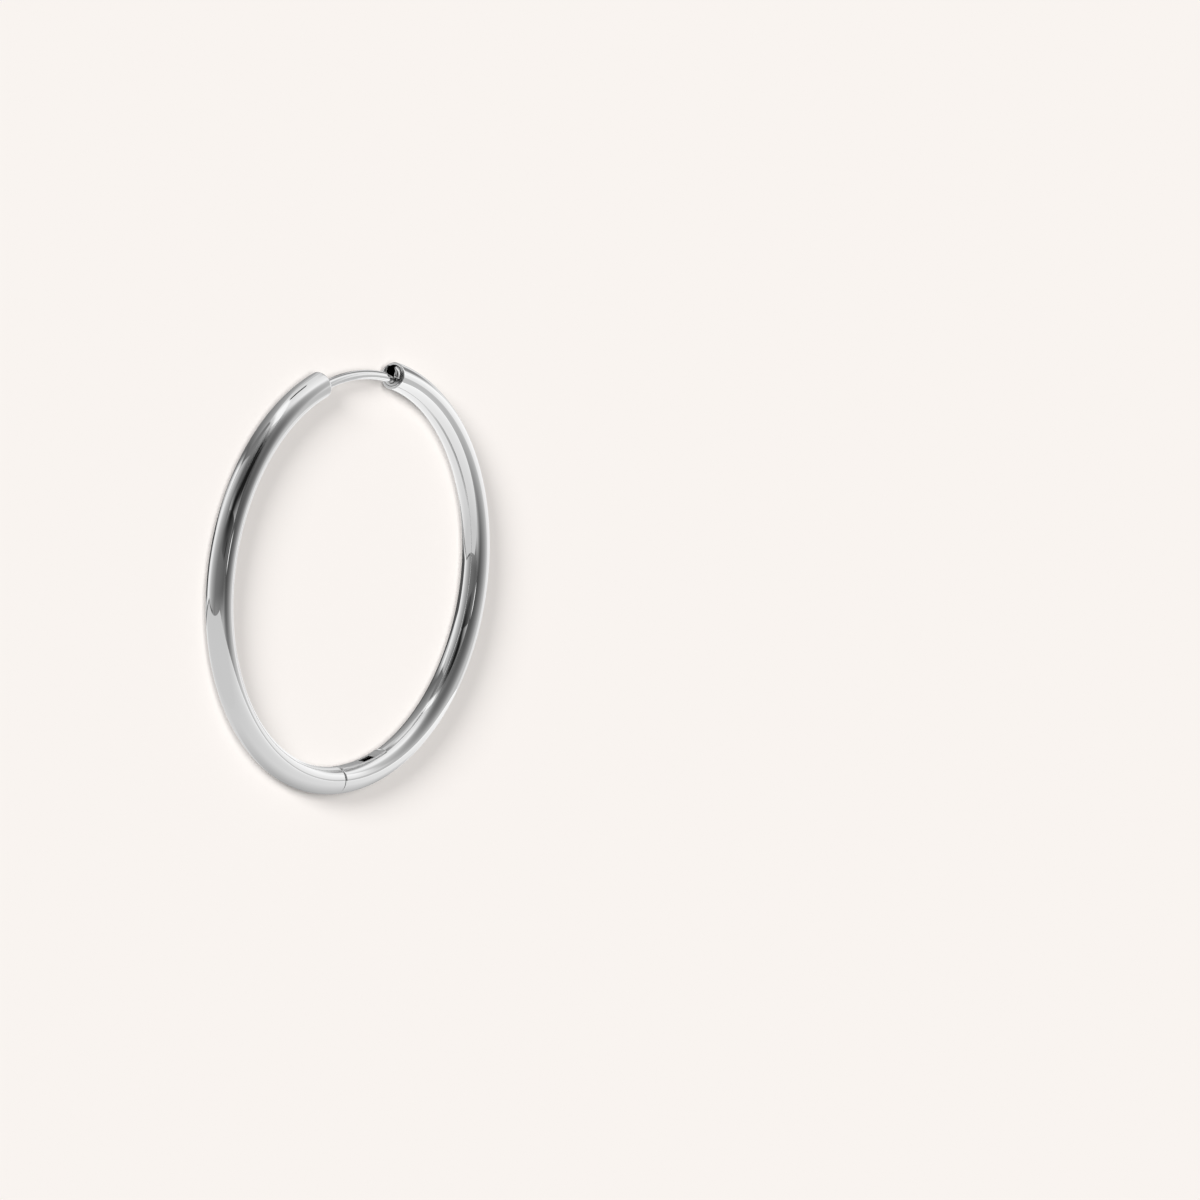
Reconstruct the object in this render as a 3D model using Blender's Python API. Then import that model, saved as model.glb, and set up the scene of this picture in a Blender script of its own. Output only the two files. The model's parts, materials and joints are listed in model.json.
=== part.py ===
"""Hinged hoop earring: two hollow half hoops, an ear post, a catch and a hinge, lying on its side.

Metres, +Z up along the hoop's own axis. +Y points from the hinge to the ear gap. The front half, which
carries the ear post, is on the -X side, and the back half, which swings open, on the +X side. The origin
is the middle of the footprint, on the surface that the hoop lies on.

A place on the hoop is a hoop angle, in degrees from +Y towards +X, with a radial offset from the tube's
centre line (outward positive) and a height above it.
"""

import math

import bmesh
import bpy
from mathutils import Matrix, Vector

MM = 0.001

# The hoop and its tube
HOOP_DIAMETER = 40.0 * MM
TUBE_DIAMETER = 2.5 * MM
WALL = 0.25 * MM
TUBE_R = TUBE_DIAMETER / 2
BORE_R = TUBE_R - WALL
RING_R = HOOP_DIAMETER / 2 - TUBE_R
RIM_ROUNDING = 0.12 * MM

# The ends of the two halves, as hoop angles
FRONT_END = -18.0
BACK_END = 14.5
HINGE = 180.0
SEAM_GAP = 0.10 * MM

# Fits
PLUG_R = BORE_R - 0.03 * MM
PLUG_DEPTH = 1.6 * MM

# Ear post
POST_R = 0.425 * MM
POST_OFFSET = -0.30 * MM
POST_REACH = 1.6 * MM
POST_TIP_ROUNDING = 0.2 * MM

# Catch
SLOT_HALF_WIDTH = POST_R + 0.05 * MM
FORK_DEPTH = 2.2 * MM
EAR_REACH = 0.55 * MM
EAR_FLOOR = -0.20 * MM

# Hinge pin and tongue
PIN_R = 0.175 * MM
PIN_HALF_LENGTH = 0.93 * MM
PIN_PAST_SEAM = 1.6 * MM
PIN_OFFSET = 0.50 * MM
EYE_R = 0.36 * MM
EYE_CLEARANCE = 0.02 * MM
POCKET_CLEARANCE = 0.01 * MM
TONGUE_HALF_WIDTH = 0.40 * MM
TONGUE_TOP = -0.60 * MM
TONGUE_BOTTOM = 0.10 * MM
TONGUE_ROOT = 0.8 * MM

# Channel on the inner side of the back half, and the leaf that lies in it
CHANNEL_HALF_WIDTH = 0.68 * MM
CHANNEL_LENGTH = 7.05 * MM
CHANNEL_FLOOR = -0.70 * MM
LEAF_SIDE_GAP = 0.08 * MM
LEAF_TOP = -1.19 * MM
LEAF_THICKNESS = 0.25 * MM
WINDOW_START = 3.85 * MM
WINDOW_LENGTH = 1.7 * MM
WINDOW_HALF_WIDTH = 0.40 * MM

# Facets
TUBE_SIDES = 20
TUBE_STEPS = 32
POST_SIDES = 12
POST_STEPS = 12
SMALL_STEP = 2.5
ROUNDING_STEPS = 3
PIN_SIDES = 20
OVERSHOOT = 1.0 * MM

# The hoop's centre stands above the floor by the tube's radius, and its footprint is centred on the origin
CENTRE = Vector((0, (1 - math.cos(math.radians(BACK_END))) * HOOP_DIAMETER / 4, TUBE_R))

POLISHED = ("polished_steel", (0.80, 0.80, 0.81), 0.05)
WIRE = ("post_steel", (0.80, 0.80, 0.81), 0.08)
BRUSHED = ("brushed_steel", (0.66, 0.66, 0.67), 0.28)
PLAIN = ("plain_steel", (0.62, 0.62, 0.63), 0.20)


def degrees_along(length):
    """The hoop angle that a length along the tube's centre line covers."""
    return math.degrees(length / RING_R)


def hoop_frame(angle, offset=0.0):
    """Matrix at a hoop angle: X outward, Y up along the hoop's axis, origin on the tube's centre line."""
    turn = math.radians(angle)
    outward = Vector((math.sin(turn), math.cos(turn), 0))
    up = Vector((0, 0, 1))
    along = outward.cross(up)
    basis = Matrix((outward, up, along)).transposed().to_4x4()
    return Matrix.Translation(CENTRE + outward * (RING_R + offset)) @ basis


def hoop_point(angle, offset=0.0):
    """A point in the hoop's middle plane."""
    return hoop_frame(angle, offset).translation


def empty_scene():
    """Removes every object of the scene."""
    for item in list(bpy.data.objects):
        bpy.data.objects.remove(item)


def steel(finish):
    """A plain metal material of that finish."""
    name, colour, roughness = finish
    material = bpy.data.materials.new(name)
    material.use_nodes = True
    shader = material.node_tree.nodes["Principled BSDF"]
    shader.inputs["Base Color"].default_value = (*colour, 1)
    shader.inputs["Roughness"].default_value = roughness
    shader.inputs["Metallic"].default_value = 1.0
    return material


def finished(bm, name, finish):
    """The bmesh as a named object with outward faces and smooth shading."""
    bmesh.ops.recalc_face_normals(bm, faces=bm.faces)
    if bm.calc_volume(signed=True) < 0:
        bmesh.ops.reverse_faces(bm, faces=bm.faces)
    mesh = bpy.data.meshes.new(name)
    bm.to_mesh(mesh)
    bm.free()
    mesh.shade_smooth()
    mesh.set_sharp_from_angle(angle=math.radians(40))
    piece = bpy.data.objects.new(name, mesh)
    bpy.context.collection.objects.link(piece)
    if finish:
        mesh.materials.append(steel(finish))
    return piece


def combine(piece, other, operation):
    """Joins another shape to the piece or cuts it out, and hides that shape."""
    modifier = piece.modifiers.new(f"{operation.lower()}_{other.name}", "BOOLEAN")
    modifier.operation = operation
    modifier.object = other
    other.hide_render = True
    other.display_type = "WIRE"


def round_loop(bm, angle, radius, sides, offset=0.0):
    """The edges of a round section, whose flats touch that radius and face up, down, in and out."""
    turned = hoop_frame(angle, offset) @ Matrix.Rotation(math.pi / sides, 4, "Z")
    corner_radius = radius / math.cos(math.pi / sides)
    made = bmesh.ops.create_circle(bm, segments=sides, radius=corner_radius, matrix=turned)
    return list({edge for vert in made["verts"] for edge in vert.link_edges})


def round_body(name, stations, sides, finish, offset=0.0, closed=False):
    """A body through round sections (hoop angle, radius), a pipe if closed and a capped bar if not."""
    bm = bmesh.new()
    loops = [round_loop(bm, angle, radius, sides, offset) for angle, radius in stations]
    pairs = list(zip(loops, loops[1:]))
    if closed:
        pairs.append((loops[-1], loops[0]))
    for loop, following in pairs:
        bmesh.ops.bridge_loops(bm, edges=loop + following)
    if not closed:
        for loop in (loops[0], loops[-1]):
            bmesh.ops.contextual_create(bm, geom=loop)
    return finished(bm, name, finish)


def swept_body(name, outline, start, end, finish=None):
    """A body swept round the hoop from one angle to another; the outline is (offset, height) points."""
    bm = bmesh.new()
    frame = hoop_frame(start)
    corners = [bm.verts.new(frame @ Vector((offset, height, 0))) for offset, height in outline]
    face = bm.faces.new(corners)
    steps = max(1, math.ceil(abs(end - start) / SMALL_STEP))
    turn = math.radians(start - end)
    bmesh.ops.spin(bm, geom=[face], cent=CENTRE, axis=(0, 0, 1), angle=turn, steps=steps)
    return finished(bm, name, finish)


def flat_body(name, outline, half_width, finish=None):
    """A plate of that outline in the hoop's middle plane, as thick as twice the half width."""
    bm = bmesh.new()
    corners = [bm.verts.new((x, y, CENTRE.z - half_width)) for x, y in outline]
    face = bm.faces.new(corners)
    raised = bmesh.ops.extrude_face_region(bm, geom=[face])
    verts = [item for item in raised["geom"] if isinstance(item, bmesh.types.BMVert)]
    bmesh.ops.translate(bm, verts=verts, vec=(0, 0, 2 * half_width))
    return finished(bm, name, finish)


def pin_body(name, radius, half_length, finish=None):
    """A round bar on the hinge's axis."""
    bm = bmesh.new()
    place = Matrix.Translation(pin_centre())
    bmesh.ops.create_cone(bm, cap_ends=True, segments=PIN_SIDES, radius1=radius, radius2=radius,
                          depth=2 * half_length, matrix=place)
    return finished(bm, name, finish)


def block_outline(low, high, half_width):
    """A rectangle of (offset, height) points."""
    return [(low, -half_width), (high, -half_width), (high, half_width), (low, half_width)]


def arc_points(centre, radius, start, end, steps):
    """Points on an arc, with angles in degrees from the first axis towards the second."""
    turns = [math.radians(start + (end - start) * i / steps) for i in range(steps + 1)]
    return [(centre[0] + radius * math.cos(t), centre[1] + radius * math.sin(t)) for t in turns]


def pin_centre():
    """The hinge's axis in the hoop's middle plane, a little past the seam in the back half."""
    radius = RING_R + PIN_OFFSET
    return CENTRE + Vector((PIN_PAST_SEAM, -math.sqrt(radius ** 2 - PIN_PAST_SEAM ** 2), 0))


def rounded_end(angle, inward):
    """Stations of a rounded outer rim, from the end face to the full tube; inward is +1 or -1."""
    stations = []
    for i in range(ROUNDING_STEPS + 1):
        turn = math.radians(90 * i / ROUNDING_STEPS)
        depth = RIM_ROUNDING * (1 - math.cos(turn))
        radius = TUBE_R - RIM_ROUNDING * (1 - math.sin(turn))
        stations.append((angle + inward * degrees_along(depth), radius))
    return stations


def half_hoop(name, start, end):
    """A hollow half hoop between two hoop angles, with rounded rims."""
    inward = math.copysign(1, end - start)
    first = rounded_end(start, inward)
    last = rounded_end(end, -inward)
    span = [start + (end - start) * i / TUBE_STEPS for i in range(1, TUBE_STEPS)]
    outside = first + [(angle, TUBE_R) for angle in span] + last[::-1]
    bore = [(angle, BORE_R) for angle in [end, *span[::-1], start]]
    return round_body(name, outside + bore, TUBE_SIDES, POLISHED, closed=True)


def plug(name, start, depth, finish):
    """A round plug in the bore, from an end face inward by the signed depth."""
    stations = [(start, PLUG_R), (start + degrees_along(depth), PLUG_R)]
    return round_body(name, stations, TUBE_SIDES, finish)


def front_half():
    """The half hoop that carries the ear post."""
    half_gap = degrees_along(SEAM_GAP / 2)
    return half_hoop("front_half", FRONT_END, -HINGE + half_gap)


def ear_post():
    """The end plug of the front half with the curved post wire soldered to it."""
    piece = plug("ear_post", FRONT_END, -PLUG_DEPTH, WIRE)
    start = FRONT_END - degrees_along(PLUG_DEPTH / 2)
    tip = BACK_END + degrees_along(POST_REACH)
    stations = [(start, POST_R)]
    shoulder = tip - degrees_along(POST_TIP_ROUNDING)
    for i in range(1, POST_STEPS + 1):
        stations.append((start + (shoulder - start) * i / POST_STEPS, POST_R))
    for i in range(1, ROUNDING_STEPS + 1):
        turn = math.radians(75 * i / ROUNDING_STEPS)
        along = degrees_along(POST_TIP_ROUNDING * math.sin(turn))
        stations.append((shoulder + along, POST_R - POST_TIP_ROUNDING * (1 - math.cos(turn))))
    wire = round_body("post_wire", stations, POST_SIDES, None, offset=POST_OFFSET)
    combine(piece, wire, "UNION")
    return piece


def hinge_tongue():
    """The hinge plug of the front half, with the tongue and the eye that turns on the pin."""
    seam_face = -HINGE + degrees_along(SEAM_GAP / 2)
    piece = plug("hinge_tongue", seam_face, PLUG_DEPTH, PLAIN)
    pin = pin_centre()
    line = hoop_point(HINGE).y
    top = line - TONGUE_TOP
    bottom = line - TONGUE_BOTTOM
    eye = arc_points(pin, EYE_R, 70, -110, 10)
    outline = [(-TONGUE_ROOT, bottom), (-TONGUE_ROOT, top), (SEAM_GAP, top), *eye, (SEAM_GAP, bottom)]
    tongue = flat_body("tongue_plate", outline, TONGUE_HALF_WIDTH)
    combine(piece, tongue, "UNION")
    hole = pin_body("eye_hole", PIN_R + EYE_CLEARANCE, OVERSHOOT)
    combine(piece, hole, "DIFFERENCE")
    return piece


def back_half():
    """The half hoop that swings open, with its channel, its pin pockets and the relief at the seam."""
    half_gap = degrees_along(SEAM_GAP / 2)
    piece = half_hoop("back_half", BACK_END, HINGE - half_gap)
    channel = block_outline(-TUBE_R - OVERSHOOT, CHANNEL_FLOOR, CHANNEL_HALF_WIDTH)
    end = HINGE - degrees_along(CHANNEL_LENGTH)
    combine(piece, swept_body("channel", channel, HINGE + degrees_along(OVERSHOOT), end), "DIFFERENCE")
    pocket = pin_body("pin_pocket", PIN_R + POCKET_CLEARANCE, PIN_HALF_LENGTH + POCKET_CLEARANCE)
    combine(piece, pocket, "DIFFERENCE")
    combine(piece, seam_relief(), "DIFFERENCE")
    return piece


def seam_relief():
    """What is cut from the outer side of the seam, so that the rim turns past the front half."""
    pin = pin_centre()
    radius = PIN_PAST_SEAM - SEAM_GAP / 2
    arc = arc_points(pin, radius, 180, 270, 16)
    low = pin.y - radius
    return flat_body("seam_relief", [*arc, (-OVERSHOOT, low), (-OVERSHOOT, pin.y)], TUBE_R + OVERSHOOT)


def fork_outline():
    """A round section with a U slot for the post, open on the outer side, as (offset, height) points."""
    mouth = math.degrees(math.asin(SLOT_HALF_WIDTH / PLUG_R))
    rim = arc_points((0, 0), PLUG_R, mouth, 360 - mouth, 18)
    slot = arc_points((POST_OFFSET, 0), SLOT_HALF_WIDTH, 270, 90, 8)
    return rim + slot


def catch_fork():
    """The catch in the mouth of the back half: a slotted plug with an ear on each side of the post."""
    outer = BACK_END - degrees_along(EAR_REACH)
    inner = BACK_END + degrees_along(FORK_DEPTH)
    piece = swept_body("catch_fork", fork_outline(), outer, inner, PLAIN)
    below_ears = block_outline(-TUBE_R, EAR_FLOOR, TUBE_R)
    cut_from = BACK_END - degrees_along(EAR_REACH + OVERSHOOT)
    combine(piece, swept_body("below_ears", below_ears, cut_from, BACK_END), "DIFFERENCE")
    return piece


def hinge_leaf():
    """The strip in the channel of the back half, with its rectangular window."""
    start = HINGE - degrees_along(SEAM_GAP)
    end = HINGE - degrees_along(CHANNEL_LENGTH - LEAF_SIDE_GAP)
    strip = block_outline(LEAF_TOP, LEAF_TOP + LEAF_THICKNESS, CHANNEL_HALF_WIDTH - LEAF_SIDE_GAP)
    piece = swept_body("hinge_leaf", strip, start, end, BRUSHED)
    window = block_outline(-TUBE_R, 0, WINDOW_HALF_WIDTH)
    near = HINGE - degrees_along(WINDOW_START)
    far = HINGE - degrees_along(WINDOW_START + WINDOW_LENGTH)
    combine(piece, swept_body("leaf_window", window, near, far), "DIFFERENCE")
    return piece


def hinge_pin():
    """The cross pin, held in two blind pockets of the back half."""
    return pin_body("hinge_pin", PIN_R, PIN_HALF_LENGTH, PLAIN)


def swinging_group(pieces):
    """Hangs the back half's pieces on an empty at the hinge's axis."""
    axis = bpy.data.objects.new("hinge_axis", None)
    axis.location = pin_centre()
    bpy.context.collection.objects.link(axis)
    bpy.context.view_layer.update()
    for piece in pieces:
        piece.parent = axis
        piece.matrix_parent_inverse = axis.matrix_world.inverted()


def main():
    """Builds the earring."""
    empty_scene()
    front_half()
    ear_post()
    hinge_tongue()
    swinging_group([back_half(), catch_fork(), hinge_leaf(), hinge_pin()])


main()
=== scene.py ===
"""Looks of a hinged hoop earring that lies on its side: tubes, ear post, catch, hinge, finishes and studio.

Metres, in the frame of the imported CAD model. A place on the hoop is a hoop angle, in degrees from +Y
towards +X, with a radial offset from the tube's centre line (outward positive) and a height above it.
"""

import json
import logging
import math
from dataclasses import dataclass
from enum import Enum
from typing import Iterable

import bmesh
import bpy
from mathutils import Matrix, Vector


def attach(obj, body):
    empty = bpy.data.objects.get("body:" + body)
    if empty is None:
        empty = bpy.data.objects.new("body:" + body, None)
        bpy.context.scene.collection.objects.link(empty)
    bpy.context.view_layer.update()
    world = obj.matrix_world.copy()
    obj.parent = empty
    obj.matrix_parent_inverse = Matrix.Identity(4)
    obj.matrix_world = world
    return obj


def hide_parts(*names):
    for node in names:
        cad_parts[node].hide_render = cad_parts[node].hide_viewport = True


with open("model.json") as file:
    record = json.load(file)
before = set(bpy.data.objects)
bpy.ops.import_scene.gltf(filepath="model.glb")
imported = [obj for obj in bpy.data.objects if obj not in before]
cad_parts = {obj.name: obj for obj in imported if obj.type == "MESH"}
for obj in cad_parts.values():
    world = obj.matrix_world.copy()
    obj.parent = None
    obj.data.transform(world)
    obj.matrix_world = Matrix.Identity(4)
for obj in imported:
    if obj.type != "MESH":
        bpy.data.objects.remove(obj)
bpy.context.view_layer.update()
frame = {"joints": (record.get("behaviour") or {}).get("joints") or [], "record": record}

MM = 0.001
MERGE_DISTANCE = 0.0005 * MM
PLUG_SIDES = 72
PLUG_STEPS = 8
PLUG_ROUNDING = 0.04 * MM
ANGLE_SLACK = 0.01
LEAST_FEATHER = 0.001
LOG = logging.getLogger("hoop_earring")

Place = tuple[float, float]
Colour = tuple[float, float, float]


class Body(Enum):
    """The CAD bodies that a piece can ride on."""

    FRONT = "front"
    BACK = "back"


class Slot(Enum):
    """The record's material slots."""

    TUBE = "polished_tube"
    WIRE = "post_wire"
    CATCH = "catch_steel"
    HINGE = "hinge_steel"
    LEAF = "brushed_leaf"


# ---------------------------------------------------------------------------------------------
# Where things are
# ---------------------------------------------------------------------------------------------


@dataclass(frozen=True)
class Hoop:
    """The hoop's own geometry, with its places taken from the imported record.

    Attributes:
        ring_radius: Radius of the tube's centre line.
        centre: Middle of the hoop, at the height of the tube's centre line.
        pin: Middle of the hinge pin.
        tube_radius: Outer radius of the tube.
        wall: Thickness of the tube's wall.
        front_end: Hoop angle of the end that holds the ear post.
        back_end: Hoop angle of the mouth that takes the ear post.
        seam: Hoop angle of the seam at the hinge.
        seam_gap: Room between the two halves at the seam.
    """

    ring_radius: float
    centre: Vector
    pin: Vector
    tube_radius: float = 1.25 * MM
    wall: float = 0.25 * MM
    front_end: float = -18.0
    back_end: float = 14.5
    seam: float = 180.0
    seam_gap: float = 0.10 * MM

    @classmethod
    def from_record(cls, record: dict, joints: list[dict]) -> "Hoop":
        """Reads the hoop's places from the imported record.

        Args:
            record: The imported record.
            joints: The record's joints.

        Returns:
            The hoop's geometry.
        """
        rest = next(mount for mount in record["mounts"] if mount["name"] == "rest_face")
        radius, middle = -rest["pos_m"][0], rest["pos_m"][1]
        return cls(radius, Vector((0, middle, cls.tube_radius)), Vector(joints[0]["pos_m"]))

    def degrees(self, length: float) -> float:
        """The hoop angle that a length along the tube's centre line covers."""
        return math.degrees(length / self.ring_radius)

    def frame(self, angle: float, offset: float = 0.0) -> Matrix:
        """Matrix at a hoop angle: X outward, Y up, Z along the tube, origin on the centre line.

        Args:
            angle: Hoop angle in degrees.
            offset: Radial distance outward from the tube's centre line.

        Returns:
            The matrix that places local points there.
        """
        turn = math.radians(angle)
        outward = Vector((math.sin(turn), math.cos(turn), 0))
        up = Vector((0, 0, 1))
        basis = Matrix((outward, up, outward.cross(up))).transposed().to_4x4()
        return Matrix.Translation(self.centre + outward * (self.ring_radius + offset)) @ basis

    def along(self, point: Vector) -> Place:
        """Hoop angle in degrees and radial offset of a point."""
        flat = (point - self.centre).to_2d()
        return math.degrees(math.atan2(flat.x, flat.y)), flat.length - self.ring_radius

    def all_at(self, verts: Iterable[bmesh.types.BMVert], angle: float) -> bool:
        """Whether every vertex lies at a hoop angle."""
        return all(abs(self.along(vert.co)[0] - angle) < ANGLE_SLACK for vert in verts)


# ---------------------------------------------------------------------------------------------
# Mesh tools
# ---------------------------------------------------------------------------------------------


def arc(centre: Place, radius: float, start: float, end: float, steps: int) -> list[Place]:
    """Points on an arc.

    Args:
        centre: Middle of the arc.
        radius: Its radius.
        start: First angle, in degrees from the first axis towards the second.
        end: Last angle.
        steps: Number of chords.

    Returns:
        The points, both ends included.
    """
    turns = [math.radians(start + (end - start) * i / steps) for i in range(steps + 1)]
    return [(centre[0] + radius * math.cos(t), centre[1] + radius * math.sin(t)) for t in turns]


def bevel(bm: bmesh.types.BMesh, edges: Iterable[bmesh.types.BMEdge], width: float, segments: int,
          clamp: bool = True) -> None:
    """Rounds edges.

    Args:
        bm: The mesh.
        edges: Edges to round.
        width: Width of the rounding.
        segments: Number of faces across it.
        clamp: Whether short edges nearby limit the width.
    """
    bmesh.ops.bevel(bm, geom=list(edges), offset=width, offset_type="OFFSET", segments=segments,
                    profile=0.5, affect="EDGES", material=-1, clamp_overlap=clamp)


def sharp_edges(bm: bmesh.types.BMesh, angle: float = 45.0) -> list[bmesh.types.BMEdge]:
    """Edges where the surface turns by more than an angle.

    Args:
        bm: The mesh.
        angle: Smallest turn, in degrees.

    Returns:
        The edges.
    """
    bm.normal_update()
    limit = math.radians(angle)
    return [edge for edge in bm.edges if edge.is_manifold and edge.calc_face_angle(0.0) > limit]


def sweep(bm: bmesh.types.BMesh, hoop: Hoop, geom: list, span: float, steps: int) -> list:
    """Sweeps geometry round the hoop's axis.

    Args:
        bm: The mesh.
        hoop: The hoop.
        geom: Vertices, edges or faces to sweep.
        span: Change of hoop angle, in degrees.
        steps: Number of steps.

    Returns:
        The geometry at the far end.
    """
    swept = bmesh.ops.spin(bm, geom=geom, cent=hoop.centre, axis=(0, 0, 1),
                           angle=math.radians(-span), steps=steps, use_merge=False)
    return swept["geom_last"]


def circle_loop(bm: bmesh.types.BMesh, place: Matrix, radius: float, sides: int) -> list[bmesh.types.BMEdge]:
    """A ring of edges.

    Args:
        bm: The mesh.
        place: Where the ring's middle is; its axis is the local Z.
        radius: Radius of the ring.
        sides: Number of edges.

    Returns:
        The ring's edges.
    """
    made = bmesh.ops.create_circle(bm, segments=sides, radius=radius, matrix=place)
    return list({edge for vert in made["verts"] for edge in vert.link_edges})


def edges_of(geom: Iterable) -> list[bmesh.types.BMEdge]:
    """The edges in a list of geometry."""
    return [item for item in geom if isinstance(item, bmesh.types.BMEdge)]


def verts_of(geom: Iterable) -> list[bmesh.types.BMVert]:
    """The vertices in a list of geometry."""
    return [item for item in geom if isinstance(item, bmesh.types.BMVert)]


def polygon(bm: bmesh.types.BMesh, place: Matrix, outline: list[Place]) -> bmesh.types.BMFace:
    """A flat face of that outline.

    Args:
        bm: The mesh.
        place: Where its local X and Y are.
        outline: Corners in local X and Y.

    Returns:
        The face.
    """
    return bm.faces.new([bm.verts.new(place @ Vector((x, y, 0))) for x, y in outline])


def slab(hoop: Hoop, outline: list[Place], half: float) -> bmesh.types.BMesh:
    """A flat outline raised on both sides of the hoop's middle plane.

    Args:
        hoop: The hoop.
        outline: Corners in X and Y.
        half: Half the slab's height.

    Returns:
        The slab's mesh.
    """
    bm = bmesh.new()
    face = polygon(bm, Matrix.Translation((0, 0, hoop.centre.z - half)), outline)
    raised = bmesh.ops.extrude_face_region(bm, geom=[face])
    bmesh.ops.translate(bm, verts=verts_of(raised["geom"]), vec=(0, 0, 2 * half))
    return bm


def as_piece(bm: bmesh.types.BMesh, name: str, crease: float = 40.0) -> bpy.types.Object:
    """Makes the piece of a bmesh, with closed seams, outward faces and smooth shading.

    Args:
        bm: The mesh; it is freed.
        name: Name of the piece.
        crease: Angle in degrees past which an edge stays sharp.

    Returns:
        The new object, at the origin.
    """
    bmesh.ops.remove_doubles(bm, verts=bm.verts, dist=MERGE_DISTANCE)
    bmesh.ops.recalc_face_normals(bm, faces=bm.faces)
    if bm.calc_volume(signed=True) < 0:
        bmesh.ops.reverse_faces(bm, faces=bm.faces)
    mesh = bpy.data.meshes.new(name)
    bm.to_mesh(mesh)
    bm.free()
    mesh.shade_smooth()
    mesh.set_sharp_from_angle(angle=math.radians(crease))
    piece = bpy.data.objects.new(name, mesh)
    bpy.context.scene.collection.objects.link(piece)
    return piece


def cut(piece: bpy.types.Object, tool: bpy.types.Object) -> None:
    """Cuts a tool's shape out of a piece and removes the tool.

    Args:
        piece: The piece.
        tool: A closed shape.
    """
    modifier = piece.modifiers.new("cut", "BOOLEAN")
    modifier.operation = "DIFFERENCE"
    modifier.solver = "EXACT"
    modifier.object = tool
    bpy.context.view_layer.update()
    shaped = bpy.data.meshes.new_from_object(piece.evaluated_get(bpy.context.evaluated_depsgraph_get()))
    piece.modifiers.clear()
    shaped.name = piece.data.name
    piece.data = shaped
    bpy.data.objects.remove(tool)


def install(piece: bpy.types.Object, body: Body, slot: Slot, material: bpy.types.Material,
            stands_for: tuple[str, ...] = ()) -> bpy.types.Object:
    """Dresses a piece and hangs it on its CAD body.

    Args:
        piece: The piece.
        body: The body that it rides on.
        slot: The record's slot of the piece; not used.
        material: Its material.
        stands_for: CAD nodes that it replaces.

    Returns:
        The piece.
    """
    piece.data.materials.clear()
    piece.data.materials.append(material)
    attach(piece, body.value)
    if stands_for:
        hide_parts(*stands_for)
    LOG.info("%s rides on %s with %d faces", piece.name, body.value, len(piece.data.polygons))
    return piece


# ---------------------------------------------------------------------------------------------
# Shader tools
# ---------------------------------------------------------------------------------------------


class Graph:
    """Short ways to add and join shader nodes in one tree."""

    def __init__(self, tree: bpy.types.NodeTree) -> None:
        """Keeps the tree and empties it."""
        self.tree = tree
        tree.nodes.clear()

    def node(self, kind: str, **settings: object) -> bpy.types.Node:
        """Adds a node and sets its properties.

        Args:
            kind: Blender's name of the node type.
            **settings: Property values.

        Returns:
            The node.
        """
        made = self.tree.nodes.new(kind)
        for key, value in settings.items():
            setattr(made, key, value)
        return made

    def join(self, source: bpy.types.NodeSocket, target: bpy.types.NodeSocket) -> None:
        """Links two sockets."""
        self.tree.links.new(source, target)

    def feed(self, target: bpy.types.NodeSocket, value: object) -> None:
        """Gives an input a link or a plain value.

        Args:
            target: The input.
            value: A socket, a number or a sequence.
        """
        if isinstance(value, bpy.types.NodeSocket):
            self.join(value, target)
        else:
            target.default_value = value

    def math(self, operation: str, first: object, second: object = 0.0,
             clamp: bool = False) -> bpy.types.NodeSocket:
        """A Math node.

        Args:
            operation: Its operation.
            first: First input.
            second: Second input.
            clamp: Whether the result is kept between 0 and 1.

        Returns:
            Its output.
        """
        made = self.node("ShaderNodeMath", operation=operation, use_clamp=clamp)
        self.feed(made.inputs[0], first)
        self.feed(made.inputs[1], second)
        return made.outputs[0]

    def ramp(self, value: object, low: float, high: float, out_low: float = 0.0,
             out_high: float = 1.0) -> bpy.types.NodeSocket:
        """A smooth step between two values.

        Args:
            value: The input.
            low: Where the step starts.
            high: Where it ends.
            out_low: Result at the start.
            out_high: Result at the end.

        Returns:
            The output.
        """
        made = self.node("ShaderNodeMapRange", interpolation_type="SMOOTHSTEP")
        for key, item in (("Value", value), ("From Min", low), ("From Max", high),
                          ("To Min", out_low), ("To Max", out_high)):
            self.feed(made.inputs[key], item)
        return made.outputs["Result"]

    def noise(self, vector: bpy.types.NodeSocket, scale: float, detail: float = 2.0) -> bpy.types.NodeSocket:
        """A noise value.

        Args:
            vector: Where it is read.
            scale: Its scale.
            detail: Its octaves.

        Returns:
            The factor.
        """
        made = self.node("ShaderNodeTexNoise")
        self.join(vector, made.inputs["Vector"])
        made.inputs["Scale"].default_value = scale
        made.inputs["Detail"].default_value = detail
        return made.outputs["Fac"]


def new_group(name: str, inputs: dict[str, float], outputs: tuple[str, ...]) -> bpy.types.NodeTree:
    """An empty shader node group with float sockets.

    Args:
        name: Name of the group.
        inputs: Input names and their default values.
        outputs: Output names.

    Returns:
        The group's tree.
    """
    tree = bpy.data.node_groups.new(name, "ShaderNodeTree")
    for label, value in inputs.items():
        socket = tree.interface.new_socket(name=label, in_out="INPUT", socket_type="NodeSocketFloat")
        socket.default_value = value
    for label in outputs:
        tree.interface.new_socket(name=label, in_out="OUTPUT", socket_type="NodeSocketFloat")
    return tree


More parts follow.
